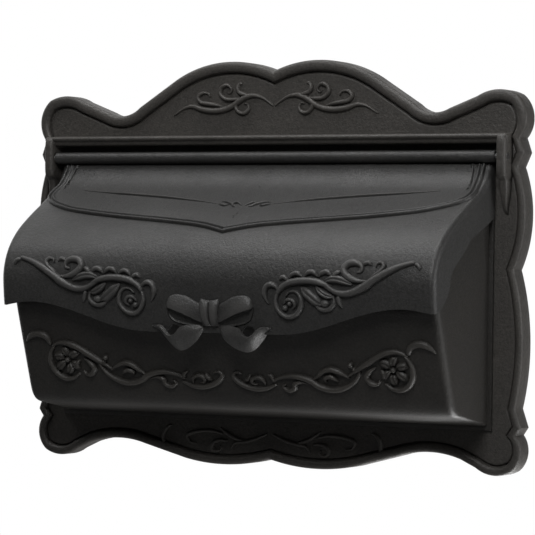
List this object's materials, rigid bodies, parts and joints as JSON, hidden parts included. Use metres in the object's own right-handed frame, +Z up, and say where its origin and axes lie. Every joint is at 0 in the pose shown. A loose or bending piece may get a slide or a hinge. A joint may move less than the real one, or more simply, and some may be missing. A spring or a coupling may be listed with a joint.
{
  "type": "wall mounted mailbox",
  "caption": "Ornate cast wall mailbox: a scalloped back plate with a bolted-on letter box and a top-hinged ogee lid with a bow-shaped lift.",
  "frame": {"origin": "centre of the four wall screw holes, on the wall plane at the plate's back", "axes": "+Z up, -Y out from the wall towards the person, +X to the right seen from the front"},
  "size_m": [0.4104, 0.114, 0.3035],
  "materials": {
    "back_plate_coat": "cast aluminium with a satin charcoal powder coat",
    "box_body_coat": "cast aluminium with a satin charcoal powder coat",
    "lid_coat": "cast aluminium with a satin charcoal powder coat",
    "pin_steel": "ground steel pin",
    "screw_steel": "zinc plated steel",
    "washer_steel": "zinc plated steel"
  },
  "bodies": {
    "letter_box": {"back_plate": "back_plate_coat", "box_body": "box_body_coat", "hinge_pin_left": "pin_steel", "hinge_pin_right": "pin_steel", "box_screw_top_right": "screw_steel", "box_screw_low_right": "screw_steel", "box_screw_foot_right": "screw_steel", "box_screw_top_left": "screw_steel", "box_screw_low_left": "screw_steel", "box_screw_foot_left": "screw_steel", "box_washer_top_right": "washer_steel", "box_washer_low_right": "washer_steel", "box_washer_foot_right": "washer_steel", "box_washer_top_left": "washer_steel", "box_washer_low_left": "washer_steel", "box_washer_foot_left": "washer_steel"},
    "lid": {"lid": "lid_coat"}
  },
  "joints": [
    {"name": "lid_hinge", "type": "hinge", "parent": "letter_box", "child": "lid", "pos_m": [0, -0.022, 0.082], "axis": [-1, 0, 0], "range_deg": [0, 110]}
  ]
}
